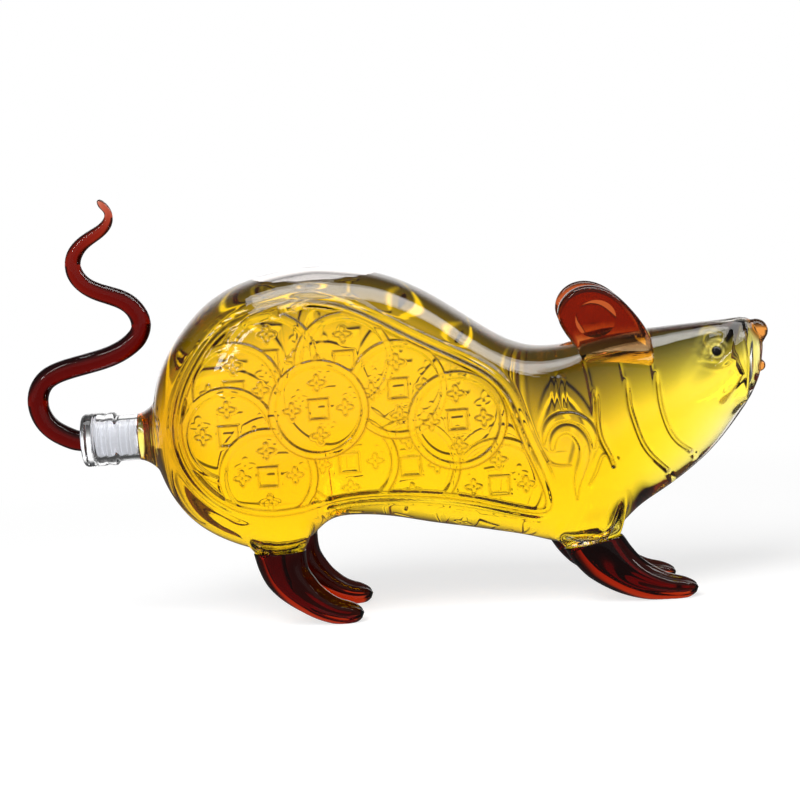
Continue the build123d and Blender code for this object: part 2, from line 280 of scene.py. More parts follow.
def smooth_step(low, high, value):
    """0 below low, 1 above high, and smooth between."""
    t = np.clip((value - low) / (high - low), 0, 1)
    return t * t * (3 - 2 * t)


def soft_max(a, b, blend):
    """The larger of two, rounded off over this distance where they meet."""
    near = np.clip(1 - np.abs(a - b) / blend, 0, None)
    return np.maximum(a, b) + near * near * blend / 4


def distance_to(places, line):
    """How far each place is from a line of points, and how far along the line as a share."""
    best = np.full(len(places), 1e9)
    along = np.zeros(len(places))
    for n, (a, b) in enumerate(zip(line, line[1:])):
        step = b - a
        t = np.clip(((places - a) @ step) / (step @ step), 0, 1)
        gap = places - a - t[:, None] * step
        d = gap[:, 0] ** 2 + gap[:, 1] ** 2
        closer = d < best
        best[closer] = d[closer]
        along[closer] = (n + t[closer]) / (len(line) - 1)
    return np.sqrt(best), along


def inside_of(places, line):
    """True for the places inside a closed line of points."""
    x, z = places[:, 0], places[:, 1]
    inside = np.zeros(len(places), bool)
    for (ax, az), (bx, bz) in zip(line, np.roll(line, -1, axis=0)):
        crosses = (az > z) != (bz > z)
        if az != bz:
            inside ^= crosses & (x < (bx - ax) * (z - az) / (bz - az) + ax)
    return inside


# Glass body, as rings round a middle line

def station_curve(inset, count=None):
    """Knots and columns (x, underside, top, half width, two squarenesses) of the body, drawn in by inset."""
    shrink = 1 - 2 * inset / body_length
    rows = np.array(body_shares[:count])
    rows[:, 0] = rump_x + body_length * (0.5 + (rows[:, 0] - 0.5) * shrink)
    rows[:, 1] = rows[:, 1] * back_height + inset
    rows[:, 2] = rows[:, 2] * back_height - inset
    rows[:, 3] = rows[:, 3] * half_width - inset
    return chord_knots(rows[:, :4]), rows


def own_reach(columns, angles):
    """Distance from each ring's own middle to the body's surface, towards these angles."""
    low, high, across, above, below = [columns[:, n][:, None] for n in range(1, 6)]
    rise = np.sin(angles)
    power = np.where(rise > 0, above, below)
    tall = (high - low) / 2
    return ((np.abs(np.cos(angles)) / across) ** power + (np.abs(rise) / tall) ** power) ** (-1 / power)


def offset_reach(columns, angles, lift):
    """The same distance, seen from a middle line that lies this much above the ring's own middle."""
    radius = own_reach(columns, angles[None])
    for _ in range(6):
        y = radius * np.cos(angles)[None]
        z = radius * np.sin(angles)[None] + lift[:, None]
        radius = radius * (own_reach(columns, np.arctan2(z, y)) / np.hypot(y, z))
    return radius


def side_angles():
    """Angles round a ring, closest together on its two sides."""
    reach = math.radians(side_reach)
    rest = 180 - 2 * side_reach
    side = np.linspace(-reach, reach, int(2 * side_reach / side_step) // 2 * 2 + 1)
    back = np.linspace(reach, math.pi - reach, int(rest / back_step) // 2 * 2 + 1)
    belly = np.linspace(reach, math.pi - reach, int(rest / belly_step) // 2 * 2 + 1)
    return np.concatenate([side[:-1], back[:-1], side[:-1] + math.pi, belly[:-1] + math.pi])


def flare_radius(x, root_x, start_radius):
    """Radius of the neck where it opens out into the rump."""
    t = np.clip((x - (rump_x - flare_length)) / (root_x - rump_x + flare_length), 0, 1)
    return start_radius + flare_height * t**flare_power


def neck_outline():
    """The outside of the neck from the mouth to the rump, as (x, radius)."""
    quarter = np.linspace(math.pi / 2, 0, 5)
    rim = neck_radius + bead_height
    points = [(mouth_x + rim_round * (1 - math.cos(a)), bore_radius + rim_round * (1 - math.sin(a)))
              for a in quarter]
    points += [(mouth_x + rim_round * (1 - math.sin(a)), rim - rim_round * (1 - math.cos(a)))
               for a in quarter]
    x = mouth_x + rim_round + rim_gap
    while x < rump_x + neck_overlap:
        t = (x - mouth_x) / bead_length
        bead = bead_height * (1 - smooth_step(*bead_end_shares, t))
        waist = waist_depth * math.exp(-((t - waist_share) / waist_width_share) ** 2)
        points.append((x, flare_radius(x, rump_x + wall, neck_radius) + bead - waist))
        x += neck_step
    return np.array(points)


def ring_points(x, middle, radius, angles):
    """Points of rings at these x, round these middle heights."""
    y = radius * np.cos(angles)[None]
    z = middle[:, None] + radius * np.sin(angles)[None]
    return np.stack([np.broadcast_to(x[:, None], y.shape), y, z], axis=-1)


def neck_rings(x, radii, angles):
    """Rings of the neck at these x, with these radii."""
    return ring_points(x, np.full(len(x), neck_height), np.tile(radii[:, None], len(angles)), angles)


def body_rings(columns, angles, start_radius, root_x, settle):
    """Rings through the body's sections, whose middle line leaves the neck's over this length."""
    x = columns[:, 0]
    own_middle = (columns[:, 1] + columns[:, 2]) / 2
    middle = own_middle + (neck_height - own_middle) * (1 - smooth_step(rump_x, rump_x + settle, x))
    radius = offset_reach(columns, angles, middle - own_middle)
    radius = soft_max(radius, flare_radius(x, root_x, start_radius)[:, None], flare_blend)
    return ring_points(x, middle, radius, angles)


def spaced(knots, rows):
    """Places along the body's knots, closer together where the relief is."""
    at = [0.0]
    xs = np.linspace(0, knots[-1], 4000)
    x_of = spline_through(knots, rows[:, :1], xs)[:, 0]
    while at[-1] < knots[-1]:
        x = np.interp(at[-1], xs, x_of)
        at.append(at[-1] + (fine_step if fine_from < x < fine_to else plain_step))
    return np.array(at[:-1])


def outer_rings(angles):
    """The outside of the glass from the mouth to the snout, before its relief."""
    neck = neck_outline()
    knots, rows = station_curve(0)
    columns = spline_through(knots, rows, spaced(knots, rows))
    columns = columns[columns[:, 0] > neck[-1, 0] + ring_gap]
    body = body_rings(columns, angles, neck_radius, rump_x + wall, settle_outside)
    body = body[columns[:, 0] < muzzle_x]
    tip, pole = snout_rings(body[-1])
    return np.concatenate([neck_rings(neck[:, 0], neck[:, 1], angles), body, tip]), pole, len(neck)


def inner_rings(angles, inset, bore, start_x):
    """The inside of the glass, or the liquor's outside, from start_x in the bore to the snout."""
    root_x = rump_x + 2 * wall
    neck_x = np.arange(start_x, rump_x + inset + neck_overlap, 2 * neck_step)
    knots, rows = station_curve(inset, chamber_stations)
    columns = spline_through(knots, rows, np.append(np.arange(0, knots[-1], inner_step), knots[-1]))
    columns = columns[columns[:, 0] > neck_x[-1] + ring_gap]
    body = body_rings(columns, angles, bore, root_x, settle_inside)
    body = body[columns[:, 0] < muzzle_x - 1]
    for stump in stumps:
        body = sink_into(body, stump, inset)
    tip, pole = snout_rings(body[-1], inset)
    neck = neck_rings(neck_x, flare_radius(neck_x, root_x, bore), angles)
    return np.concatenate([neck, body, tip]), pole


# Snout, drawn out from a point inside it

def in_body(places):
    """True for the places inside the body's form, before its relief."""
    knots, rows = station_curve(0)
    x, y, z = places.T
    low, high, across, above, below = [np.interp(x, rows[:, 0], rows[:, n]) for n in range(1, 6)]
    rise = (z - (low + high) / 2) / ((high - low) / 2)
    power = np.where(rise > 0, above, below)
    ahead = ((x - muzzle_x) / snout_reach) ** snout_squareness
    return (np.abs(y) / across) ** power + np.abs(rise) ** power + ahead < 1


def farthest(origin, directions):
    """How far each direction stays inside the body, from a point inside it."""
    near = np.zeros(len(directions))
    far = np.full(len(directions), 30.0)
    for _ in range(22):
        half = (near + far) / 2
        within = in_body(origin + directions * half[:, None])
        near = np.where(within, half, near)
        far = np.where(within, far, half)
    return near


def over_balls(origin, directions, reach):
    """The reach with the nose and the lip laid over it."""
    for centre, radius in snout_balls:
        gap = centre - origin
        along = directions @ gap
        beside = radius**2 - (gap @ gap - along**2)
        out = np.where(beside > 0, along + np.sqrt(np.maximum(beside, 0)), 0)
        reach = soft_max(reach, out, ball_blend)
    return reach


def snout_rings(last, inset=0.0):
    """Rings from the last ring of the body to the tip of the snout, over its nose and its lip
    on the outside, and drawn in from the plain snout on the inside."""
    origin = np.array([muzzle_x - snout_depth, 0, last[:, 2].mean()])
    start = last - origin
    start_reach = np.linalg.norm(start, axis=1)
    start = start / start_reach[:, None]
    ahead = np.array(snout_ahead) / np.linalg.norm(snout_ahead)
    opening = np.arccos(np.clip(start @ ahead, -1, 1))
    first_gap = farthest(origin, start) - start_reach
    steps, settled = snout_inside if inset else snout_outside
    rings = []
    for n in range(1, steps + 1):
        t = n / steps
        turned = np.sin((1 - t) * opening)[:, None] * start + np.sin(t * opening)[:, None] * ahead
        turned /= np.linalg.norm(turned, axis=1)[:, None]
        share = smooth_step(0, settled, np.array(t))
        reach = farthest(origin, turned) - first_gap * (1 - share) - snout_wall_share * inset * share
        if not inset:
            reach = over_balls(origin, turned, reach)
        rings.append(origin + turned * reach[:, None])
    return np.array(rings[:-1]), rings[-1].mean(axis=0)


# Relief

def edge(d, width):
    """1 on a line and 0 away from it, for these distances from the line."""
    return np.exp(-((d / width) ** 2))


def blossom(local, turn):
    """A small generic blossom: a ring of petals round a dot."""
    u, v = local[:, 0], local[:, 1]
    r = np.hypot(u, v)
    petal = 2.5 + 0.9 * np.cos(4 * (np.arctan2(v, u) - turn))
    return np.maximum(edge(r - petal, 0.5), edge(r, 0.7)) * (r < blossom_radius)


def coin_relief(places, height, line, centre, linked):
    """Lays one coin over the relief and its painted shade so far, which show through where it is linked."""
    gap = places - np.array(centre)
    d = np.hypot(gap[:, 0], gap[:, 1])
    square = np.maximum(np.abs(gap[:, 0]), np.abs(gap[:, 1]))
    # painted shade: the coin's dark lines are darker towards its lower right
    shaded_lower_right = 0.55 + 0.45 * np.cos(np.arctan2(gap[:, 1], gap[:, 0]) + math.pi / 4)
    face = coin_face * (1 - smooth_step(-coin_edge, coin_edge, d - coin_inner_radius))
    face += 0.50 * edge(square - coin_hole, 0.6)
    face -= 0.15 * (1 - smooth_step(coin_hole - 1.6, coin_hole - 0.2, square))
    painted_shade_marks = 0.8 * shaded_lower_right * edge(d - coin_inner_radius, line_width)
    painted_shade_marks += 0.6 * edge(square - coin_hole, 0.40)
    for n in range(4):
        a = n * math.pi / 2
        petals = blossom(gap - blossom_place * np.array([math.cos(a), math.sin(a)]), a)
        face += 0.42 * petals
        painted_shade_marks += 0.60 * petals
    on_coin = 1 - smooth_step(-rim_edge, rim_edge, d - coin_radius)
    under = smooth_step(*under_limits, height) * under_share * linked
    laid = np.maximum(face, height * under + face * (1 - under))
    height = height + (laid - height) * on_coin
    line = line * (1 - on_coin * (1 - under)) + painted_shade_marks * on_coin
    # a painted dark line of shade round the coin's rim
    rim = (0.45 + 0.55 * shaded_lower_right) * edge(d - coin_radius - 0.1, rim_line_width)
    return height, np.maximum(line, rim)


def panel_relief(places):
    """The coins in their panel, and the panel's border."""
    panel = smooth_line(panel_line, 2.0, closed=True)
    gap, _ = distance_to(places, np.vstack([panel, panel[:1]]))
    outside = np.where(inside_of(places, panel), -gap, gap)
    height = np.full(len(places), panel_floor)
    line = np.zeros(len(places))
    for n, centre in enumerate(coins):
        height, line = coin_relief(places, height, line, centre, n in linked_coins)
    mask = smooth_step(0.3, 1.3, -outside)
    height = height * mask
    line = line * mask
    for rise, place, width in panel_ridges:
        height += rise * edge(outside - place, width)
    for depth, place, width in painted_panel_shades:
        line = np.maximum(line, depth * edge(outside - place, width))
    return height, line


def side_relief(places):
    """How far the glass stands out at these places on its side, and how dark the painted shade of its lines
    is.
    """
    height, line = panel_relief(places)
    # the scrolls, folds, mouth and lids get painted dark lines of shade along their edges, and the eye a
    # painted dark ring
    for widths, points in scrolls:
        d, along = distance_to(places, smooth_line(points, 0.8))
        half = np.interp(along, np.linspace(0, 1, len(widths)), widths)
        height += np.minimum(half * 0.4, 0.7) * (1 - smooth_step(half - 0.8, half + 0.8, d))
        line = np.maximum(line, 0.62 * edge(d - half, line_width))
    for points in fold_lines:
        d, along = distance_to(places, smooth_line(points, 1.0))
        fade = smooth_step(0, 0.18, along)
        height -= fade * fold_depth * edge(d, 0.95)
        line = np.maximum(line, fade * 0.85 * edge(d - 0.75, line_width))
    d, along = distance_to(places, smooth_line(mouth_line, 0.5))
    half = 0.35 + 0.9 * smooth_step(0.55, 0.95, along)
    height -= mouth_depth * edge(d, 0.4 + half)
    line = np.maximum(line, 0.9 * (1 - smooth_step(half - 0.1, half + 0.5, d)))
    for depth, points in lid_lines:
        lid = np.array(points) + np.array(eye_place)
        d, along = distance_to(places, smooth_line(lid, 0.5))
        fade = depth * np.sin(math.pi * np.clip(along, 0.05, 0.95)) ** 0.6
        height += 0.32 * fade * edge(d - 0.3, 0.9)
        line = np.maximum(line, 0.9 * fade * edge(d, 0.45))
    gap = places - np.array(eye_place)
    d = np.hypot(gap[:, 0], gap[:, 1])
    clear = smooth_step(2.4, 3.4, d)
    return height * clear, np.maximum(line * clear, 0.8 * edge(d - socket_shade_radius, 0.35))


def surface_normals(rings):
    """Outward directions of a ring surface, from its neighbours."""
    along = np.gradient(rings, axis=0)
    around = np.roll(rings, -1, axis=1) - np.roll(rings, 1, axis=1)
    normal = np.cross(around, along)
    normal = normal / np.maximum(np.linalg.norm(normal, axis=-1, keepdims=True), 1e-9)
    centre = rings.mean(axis=1, keepdims=True)
    outward = np.sign(((rings - centre) * normal).sum(axis=-1, keepdims=True))
    return normal * np.where(outward == 0, 1, outward)


def carve(rings, first):
    """The rings with relief past the neck and with the stumps of the legs, and the painted shade, amber and
    painted glint of their glass.
    """
    normals = surface_normals(rings)
    side = np.abs(normals[..., 1])
    facing = smooth_step(0.10, 0.40, side)
    places = rings[..., [0, 2]].reshape(-1, 2)
    height = np.zeros(len(places))
    line = np.zeros(len(places))
    chosen = (facing > 0).ravel() & (np.arange(len(places)) >= first * rings.shape[1])
    height[chosen], line[chosen] = side_relief(places[chosen])
    carved = rings + normals * (height.reshape(facing.shape) * facing)[..., None]
    for stump in stumps:
        carved = pull_stump(carved, stump, first)
    # painted shade of the relief's dark lines, on the sides only
    lines = np.clip(line.reshape(facing.shape), 0, 1) * facing
    return carved, painted_light_and_shade(rings, lines, side, facing, first)


def painted_light_and_shade(rings, lines, side, facing, first):
    """Shares of painted shade, amber and painted glint: painted dark lines and contours, a warm rump
    from painted shade, a warm nose and lip, and a painted highlight caught round the eye."""
    x, z = rings[..., 0], rings[..., 2]
    # painted shade along the contours and over the end of the rump
    rump = 1 - smooth_step(*rump_contour, x)
    contour = (1 - smooth_step(*contour_sides, side)) * (body_contour + (1 - body_contour) * rump)
    contour = np.maximum(contour, 1 - smooth_step(*rump_fade, x))
    contour[:first] = 0
    # painted shade: dark lines, darker contours, and grey above the liquor
    shade = np.maximum(lines, painted_contour_shade * contour)
    shade = np.maximum(shade, painted_air_shade * smooth_step(*air_edge, z - liquor_level))
    # amber: painted warmth along the contours, and a warm tint round the nose and the lip
    amber = painted_contour_warmth * contour
    for centre, radius in snout_balls:
        d = np.linalg.norm(rings - centre, axis=-1)
        amber = np.maximum(amber, 1 - smooth_step(*warm_reach, d - radius))
    # painted glint: a highlight round the bead and on the brow, given off as emission
    d = np.hypot(x - eye_place[0], z - eye_place[1])
    above = smooth_step(0.1, 0.6, (z - eye_place[1]) / np.maximum(d, 0.1))
    glint = edge(d - painted_glint_radius, line_width) + 0.8 * above * edge(d - brow_glint_radius, 0.55)
    return np.stack([shade, amber, glint * facing * (side > 0.3)], axis=-1)


# Legs: places, middle lines and swells as in the solids
hind_leg = dict(
    place=(0.193, 0.575, 0.213), tilt=0.0, reach=33.5, depth=22.6, width=17.0, stagger=3.5,
    line=[
        (-0.060, 0.72, 1.950), (-0.020, 0.92, 1.420), (0.000, 1.00, 1.000), (0.060, 1.02, 0.720),
        (0.240, 1.02, 0.460), (0.490, 1.01, 0.245), (0.735, 1.00, 0.135), (1.000, 1.00, 0.115),
    ],
    swell=[
        (0.00, 1.25, 1.16), (0.36, 1.00, 1.00), (0.52, 0.86, 0.92), (0.70, 0.62, 0.82),
        (0.84, 0.50, 0.82), (1.00, 0.42, 0.74),
    ],
)
front_leg = dict(
    place=(0.690, 0.512, 0.176), tilt=10.0, reach=43.0, depth=25.4, width=16.5, stagger=-4.0,
    line=[
        (-0.160, 0.62, 2.200), (-0.075, 0.86, 1.520), (0.000, 1.00, 1.000), (0.155, 1.02, 0.660),
        (0.370, 1.02, 0.385), (0.600, 1.01, 0.225), (0.800, 1.00, 0.160), (1.000, 1.00, 0.145),
    ],
    swell=[
        (0.00, 1.10, 1.20), (0.36, 0.98, 1.00), (0.50, 0.90, 0.94), (0.68, 0.66, 0.85),
        (0.84, 0.46, 0.80), (1.00, 0.34, 0.70),
    ],
)
toe_share = 0.10          # of a leg, over which the tips of its toes close
toe_rise = (0.42, 0.80)   # shares of the leg over which the grooves between the toes deepen
toe_groove = 0.13
stump_reach = (0.92, 1.30)  # shares of a leg's oval over which the glass is drawn down to its joint
stump_height = (10, 26)   # and heights above the joint
ease_reach = (1.6, 2.2)   # the same for where it is eased
ease_share = 0.6
ease_passes = 30
dip_reach = (0.35, 1.05)  # and for where the chamber dips
dip_height = (13, 27)
dip_wall = 1.2            # how much thinner the wall is there
foot_rings = 90
foot_around = 72


def joint_of(leg, side):
    """Where a leg meets the body: its middle, on the right side for -1 and the left for 1."""
    stagger = leg["stagger"] if side > 0 else 0
    return (
        rump_x + leg["place"][0] * body_length + stagger,
        side * leg["place"][1] * half_width,
        leg["place"][2] * back_height,
    )


def joint_height(leg, x):
    """Height of a pair's joint plane at x."""
    middle_x = rump_x + leg["place"][0] * body_length
    return leg["place"][2] * back_height + (x - middle_x) * math.tan(math.radians(leg["tilt"]))


def stump_of(leg, side):
    """The joint of a leg as its place, the half lengths of its oval, and its slope."""
    x, y, _ = joint_of(leg, side)
    slope = math.tan(math.radians(leg["tilt"]))
    return (x, y, joint_height(leg, x)), (leg["depth"] / 2, leg["width"] / 2), slope


stumps = [stump_of(leg, side) for leg in (hind_leg, front_leg) for side in (-1, 1)]


def from_stump(rings, stump):
    """How far out of a stump's oval each point lies, and the height of the joint there."""
    place, size, slope = stump
    x, y = rings[..., 0] - place[0], rings[..., 1] - place[1]
    return np.hypot(x / size[0], y / size[1]), place[2] + x * slope


def sink_into(rings, stump, inset):
    """Lets the chamber dip into the stump of a leg, down to a wall above its joint."""
    d, joint = from_stump(rings, stump)
    z = rings[..., 2]
    share = (1 - smooth_step(*dip_reach, d)) * (1 - smooth_step(*dip_height, z - stump[0][2]))
    sunk = rings.copy()
    sunk[..., 2] = z + (np.minimum(z, joint + inset - dip_wall) - z) * share
    return sunk


def pull_stump(rings, stump, first):
    """Draws the glass down to the joint of a leg, over an oval as large as the leg there, and eases it."""
    d, joint = from_stump(rings, stump)
    z = rings[..., 2]
    under = 1 - smooth_step(*stump_height, z - stump[0][2])
    share = (1 - smooth_step(*stump_reach, d)) * under
    near = (1 - smooth_step(*ease_reach, d)) * under * ease_share
    near[:first] = 0
    pulled = rings.copy()
    pulled[..., 2] = z + (np.minimum(z, joint) - z) * share
    pulled[:first] = rings[:first]
    for _ in range(ease_passes):
        mean = (np.roll(pulled, 1, axis=1) + np.roll(pulled, -1, axis=1)) / 4
        mean[1:-1] += (pulled[2:] + pulled[:-2]) / 4
        mean[[0, -1]] *= 2
        eased = pulled + (mean - pulled) * near[..., None]
        held = np.where(share > 0.98, np.minimum(eased[..., 2], joint), np.maximum(eased[..., 2], joint))
        eased[..., 2] = np.where(near > 0, held, pulled[..., 2])
        pulled = eased
    return pulled


# Meshes

def new_object(name, data):
    """An object in the scene with this data."""
    piece = bpy.data.objects.new(name, data)
    bpy.context.scene.collection.objects.link(piece)
    return piece


def ring_faces(rings, around, start=0):
    """Quads between rings of the same number of points."""
    faces = []
    n = np.arange(around)
    for r in range(rings - 1):
        a = start + r * around + n
        b = start + r * around + (n + 1) % around
        faces.append(np.stack([a, b, b + around, a + around], axis=1))
    return np.concatenate(faces)


def fan(first, count, pole):
    """Triangles from a ring of points to one point."""
    n = np.arange(count)
    return np.stack([first + n, first + (n + 1) % count, np.full(count, pole)], axis=1)


def tube_faces(rings, around):
    """Faces of a row of rings that closes on the two points that follow it, one at each end."""
    count = rings * around
    corners = np.concatenate([fan(0, around, count), fan(count - around, around, count + 1)])
    return ring_faces(rings, around), corners


def mesh_piece(name, points, faces, material, tints=None):
    """A smooth mesh object from points in millimetres and arrays of quads and triangles."""
    quads, corners = faces
    loops = np.concatenate([quads.ravel(), corners.ravel()]).astype(np.int32)
    starts = np.concatenate([
        4 * np.arange(len(quads)), 4 * len(quads) + 3 * np.arange(len(corners))]).astype(np.int32)
    mesh = bpy.data.meshes.new(name)
    mesh.vertices.add(len(points))
    mesh.vertices.foreach_set("co", (points * MM).astype(np.float32).ravel())
    mesh.loops.add(len(loops))
    mesh.loops.foreach_set("vertex_index", loops)
    mesh.polygons.add(len(starts))
    mesh.polygons.foreach_set("loop_start", starts)
    mesh.update(calc_edges=True)
    work = bmesh.new()
    work.from_mesh(mesh)
    bmesh.ops.recalc_face_normals(work, faces=work.faces)
    work.to_mesh(mesh)
    work.free()
    mesh.polygons.foreach_set("use_smooth", [True] * len(mesh.polygons))
    if tints is not None:
        # painted shade, amber with painted warmth, and painted glint, one value for each point
        for name_of_tint, values in zip(("shade", "amber", "glint"), tints.T):
            attribute = mesh.attributes.new(name_of_tint, "FLOAT", "POINT")
            attribute.data.foreach_set("value", values.astype(np.float32))
    mesh.materials.append(material)
    return new_object(name, mesh)


def glass_body(material):
    """The blown glass: its carved outside joined at the mouth to its smooth inside."""
    angles = side_angles()
    outside, nose_pole, first = outer_rings(angles)
    outside, outside_painted_light = carve(outside, first)
    coarse = angles[::2]
    inside, snout_pole = inner_rings(coarse, wall, bore_radius, mouth_x + rim_round)
    many, few = len(angles), len(coarse)
    outer_count = len(outside) * many
    inner_start = outer_count + 1
    inner_count = len(inside) * few
    quads = np.concatenate([
        ring_faces(len(outside), many), ring_faces(len(inside), few, inner_start)])
    n = np.arange(few)
    a, b = inner_start + n, inner_start + (n + 1) % few
    p, q, r = 2 * n, 2 * n + 1, (2 * n + 2) % many
    corners = np.concatenate([
        fan(outer_count - many, many, outer_count),
        fan(inner_start + inner_count - few, few, inner_start + inner_count),
        np.stack([a, p, q], axis=1),
        np.stack([a, q, b], axis=1),
        np.stack([b, q, r], axis=1),
    ])
    points = np.concatenate([
        outside.reshape(-1, 3), nose_pole[None], inside.reshape(-1, 3), snout_pole[None]])
    tints = np.zeros((len(points), 3))
    tints[:outer_count] = outside_painted_light.reshape(-1, 3)
    piece = mesh_piece("blown_glass_body", points, (quads, corners), material, tints)
    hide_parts("body_shell")
    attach(piece, "decanter")


def liquor_fill(material):
    """The liquor: everything inside the glass below its level, and the bore up to the stopper."""
    angles = side_angles()[::2]
    start = np.array([sleeve_high.x + liquor_gap, 0, neck_height])
    rings, pole = inner_rings(angles, wall - liquor_overlap, bore_radius + liquor_overlap, start[0])
    rings[..., 2] = np.minimum(rings[..., 2], liquor_level)
    points = np.concatenate([rings.reshape(-1, 3), start[None], pole[None]])
    piece = mesh_piece("liquor", points, tube_faces(len(rings), len(angles)), material)
    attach(piece, "decanter")


def foot_piece(name, leg, side, material):
    """An amber foot below its joint, with long toes drawn out of the hot glass."""
    joint = joint_of(leg, side)
    line = np.array([
        (joint[0] + a * leg["reach"], b * joint[1], c * joint[2]) for a, b, c in leg["line"]
    ])
    knots = chord_knots(line)
    at = np.linspace(0, knots[-1], foot_rings + 1)
    path = spline_through(knots, line, at)
    share = at / knots[-1]
    places, deep, wide = np.array(leg["swell"]).T
    past = np.clip((share - 1 + toe_share) / toe_share, 0, 1)
    close = np.sqrt(np.maximum(0.0004, 1 - past**2))
    half_deep = np.interp(share, places, deep) * close * leg["depth"] / 2
    half_wide = np.interp(share, places, wide) * close * leg["width"] / 2
    across = np.array([0.0, 1.0, 0.0])
    up = np.cross(np.gradient(path, axis=0), across)
    up /= np.linalg.norm(up, axis=1, keepdims=True)
    angles = np.linspace(0, 2 * math.pi, foot_around, endpoint=False)
    c, s = np.cos(angles), np.sin(angles)
    between = (0.5 + 0.5 * np.cos(6 * np.arcsin(np.clip(c, -1, 1)) + math.pi)) * (s > -0.4)
    groove = 1 - toe_groove * smooth_step(*toe_rise, share)[:, None] * between
    points = (path[:, None]
              + (groove * c * half_wide[:, None])[..., None] * across
              + (groove * s * half_deep[:, None])[..., None] * up[:, None])
    top = joint_height(leg, points[..., 0]) + 0.1
    points[..., 2] = np.clip(points[..., 2], 0, top)
    below = (points[..., 2] < top - 1e-6).any(axis=1)
    points = points[max(0, np.argmax(below) - 1):]
    ends = points[[0, -1]].mean(axis=1)
    faces = tube_faces(len(points), foot_around)
    piece = mesh_piece(f"{name}_glass", np.concatenate([points.reshape(-1, 3), ends]), faces, material)
    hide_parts(name)
    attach(piece, "decanter")


# Materials
amber_ripple = (12, 0.03)  # length and depth of the waves, in millimetres
small_ripple = (1.5, 0.02)


def new_material(name):
    """A material without nodes, and its tree."""
    material = bpy.data.materials.new(name)
    material.use_nodes = True
    material.node_tree.nodes.clear()
    return material, material.node_tree


def add(tree, kind, inputs=None, **settings):
    """A new node with these settings, its inputs set to values or linked to other nodes' outputs."""
    node = tree.nodes.new(kind)
    for setting, value in settings.items():
        setattr(node, setting, value)
    for socket, value in (inputs or {}).items():
        if isinstance(value, bpy.types.NodeSocket):
            tree.links.new(value, node.inputs[socket])
        else:
            node.inputs[socket].default_value = value
    return node


def finish_surface(tree, shader, volume=None):
    """Leads a shader, and what fills the glass, to the material's output."""
    output = add(tree, "ShaderNodeOutputMaterial", {"Surface": shader})
    if volume:
        tree.links.new(volume, output.inputs["Volume"])


def calculated(tree, operation, *values):
    """The result of a sum on these values."""
    return add(tree, "ShaderNodeMath", dict(enumerate(values)), operation=operation).outputs["Value"]


def ranged(tree, value, limits, results=(0.0, 1.0), kind="SMOOTHSTEP"):
    """A value that goes from one result to the other between two limits."""
    inputs = {"Value": value, "From Min": limits[0], "From Max": limits[1],
              "To Min": results[0], "To Max": results[1]}
    return add(tree, "ShaderNodeMapRange", inputs, interpolation_type=kind).outputs["Result"]


def mixed(tree, share, first, second):
    """The first shader where the share is 0, and the second where it is 1."""
    return add(tree, "ShaderNodeMixShader", {"Fac": share, 1: first, 2: second}).outputs["Shader"]


def attribute(tree, name):
    """What the mesh says at this point."""
    return add(tree, "ShaderNodeAttribute", attribute_name=name).outputs["Fac"]


def outer_side(tree):
    """1 where a surface is met from outside, and 0 from inside."""
    return calculated(tree, "SUBTRACT", 1.0, add(tree, "ShaderNodeNewGeometry").outputs["Backfacing"])


def ripples(tree, shader, size, depth):
    """The soft unevenness of fire-polished glass, in millimetres."""
    place = add(tree, "ShaderNodeTexCoord").outputs["Object"]
    noise = add(tree, "ShaderNodeTexNoise", {"Vector": place, "Scale": 1 / (size * MM), "Detail": 2.0})
    bump = add(tree, "ShaderNodeBump", {
        "Height": noise.outputs["Fac"], "Strength": 1.0, "Distance": depth * MM})
    tree.links.new(bump.outputs["Normal"], shader.inputs["Normal"])


def glass_material(name, ior=1.5, passed=None, density=0, ripple=None):
    """Clear glass or liquid, which may take up light along the way through it."""
    material, tree = new_material(name)
    shader = add(tree, "ShaderNodeBsdfPrincipled", {
        "Base Color": (1, 1, 1, 1), "Transmission Weight": 1.0, "IOR": ior, "Roughness": 0.0})
    if ripple:
        ripples(tree, shader, *ripple)
    volume = None
    if passed:
        volume = add(tree, "ShaderNodeVolumeAbsorption", {
            "Color": (*passed, 1), "Density": density}).outputs["Volume"]
    finish_surface(tree, shader.outputs["BSDF"], volume)
    return material


def shader_of(material):
    """The main shader of a material, and its tree."""
    tree = material.node_tree
    return next(node for node in tree.nodes if node.type == "BSDF_PRINCIPLED"), tree


def blended(tree, share, first, second):
    """The first colour where the share is 0, and the second where it is 1."""
    inputs = {"Factor": share, "A": first, "B": second}
    return add(tree, "ShaderNodeMix", inputs, data_type="RGBA").outputs["Result"]


def paint_shade_and_glint(material, painted_shade_colour, warm_colour, painted_glint_colour, painted_glint_strength):
    """Colours glass with the painted shade, the amber and the painted glint that its mesh holds."""
    shader, tree = shader_of(material)
    # painted shade darkens the base colour where the glass is met from outside
    share = calculated(tree, "MULTIPLY", attribute(tree, "shade"), outer_side(tree))
    lines = blended(tree, share, (1, 1, 1, 1), (*painted_shade_colour, 1))
    warm = blended(tree, attribute(tree, "amber"), lines, (*warm_colour, 1))
    tree.links.new(warm, shader.inputs["Base Color"])
    # the painted glint glows as emission, though it is no lamp
    caught = calculated(tree, "MULTIPLY", attribute(tree, "glint"), painted_glint_strength)
    tree.links.new(caught, shader.inputs["Emission Strength"])
    shader.inputs["Emission Color"].default_value = (*painted_glint_colour, 1)


